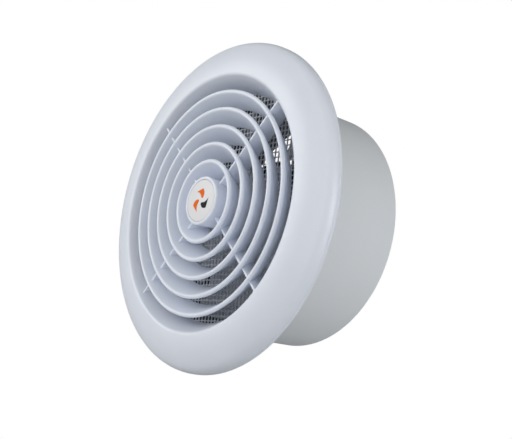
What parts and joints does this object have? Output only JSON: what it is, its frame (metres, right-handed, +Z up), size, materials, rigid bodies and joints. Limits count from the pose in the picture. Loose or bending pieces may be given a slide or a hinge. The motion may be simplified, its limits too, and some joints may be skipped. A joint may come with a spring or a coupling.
{
  "type": "bathroom extractor fan",
  "caption": "Round axial extractor fan: domed grille with ring louvres and insect screen, wall flange, duct spigot and a motor on struts.",
  "frame": {"origin": "centre of the flange's rear face, in the plane of the wall, on the fan's axis", "axes": "+Y along the fan's axis into the duct, so the grille faces -Y into the room; +Z up, with the terminals below the motor; +X to the right seen from the room"},
  "size_m": [0.158, 0.069, 0.158],
  "materials": {
    "cover_plastic": "satin white moulded ABS with a faint blue cast",
    "housing_plastic": "satin off-white moulded ABS, slightly greyer than the cover",
    "badge_plastic": null,
    "screen_mesh": "light grey woven polymer mesh",
    "impeller_plastic": "satin grey moulded plastic",
    "screw_steel": "zinc-plated steel",
    "lamination_steel": "stacked electrical steel",
    "bobbin_plastic": "natural nylon",
    "copper_winding": "enamelled copper wire",
    "bearing_bronze": "oiled sintered bronze",
    "bracket_zinc": "as-cast zinc alloy",
    "shaft_steel": "ground steel",
    "cage_aluminium": "die-cast aluminium",
    "terminal_plastic": "natural polyamide",
    "terminal_brass": "nickel-free brass",
    "lead_brown": "brown PVC insulation",
    "lead_blue": "blue PVC insulation",
    "grommet_rubber": "black rubber",
    "fuse_casing": "cream fuse casing",
    "washer_fibre": "brown fibre"
  },
  "bodies": {
    "fan_body": {"housing": "housing_plastic", "motor_carrier": "housing_plastic", "motor_cap": "housing_plastic", "carrier_screws": "screw_steel", "motor_cap_screws": "screw_steel", "motor_screws": "screw_steel", "stator_stack": "lamination_steel", "stator_bobbins": "bobbin_plastic", "stator_windings": "copper_winding", "thermal_fuse": "fuse_casing", "rear_bracket": "bracket_zinc", "front_bearing": "bearing_bronze", "rear_bearing": "bearing_bronze", "terminal_block": "terminal_plastic", "terminal_clamps": "terminal_brass", "terminal_screws": "screw_steel", "terminal_fixing_screw": "screw_steel", "motor_lead_live": "lead_brown", "motor_lead_neutral": "lead_blue", "lead_grommet": "grommet_rubber", "cable_clamp": "housing_plastic", "cable_clamp_screws": "screw_steel"},
    "rotor": {"shaft": "shaft_steel", "rotor_core": "lamination_steel", "rotor_cage": "cage_aluminium", "thrust_washers": "washer_fibre", "impeller": "impeller_plastic", "impeller_bush": "terminal_brass", "impeller_washer": "screw_steel", "shaft_clip": "screw_steel", "impeller_nut": "screw_steel"},
    "grille": {"front_cover": "cover_plastic", "hub_badge": "badge_plastic", "insect_screen": "screen_mesh", "screen_frame": "housing_plastic"}
  },
  "joints": [
    {"name": "impeller_spin", "type": "hinge", "parent": "fan_body", "child": "rotor", "pos_m": [0, 0.018, 0], "axis": [0, 1, 0], "continuous": true},
    {"name": "cover_pull", "type": "slide", "parent": "fan_body", "child": "grille", "axis": [0, -1, 0], "range_m": [0, 0.05]}
  ]
}
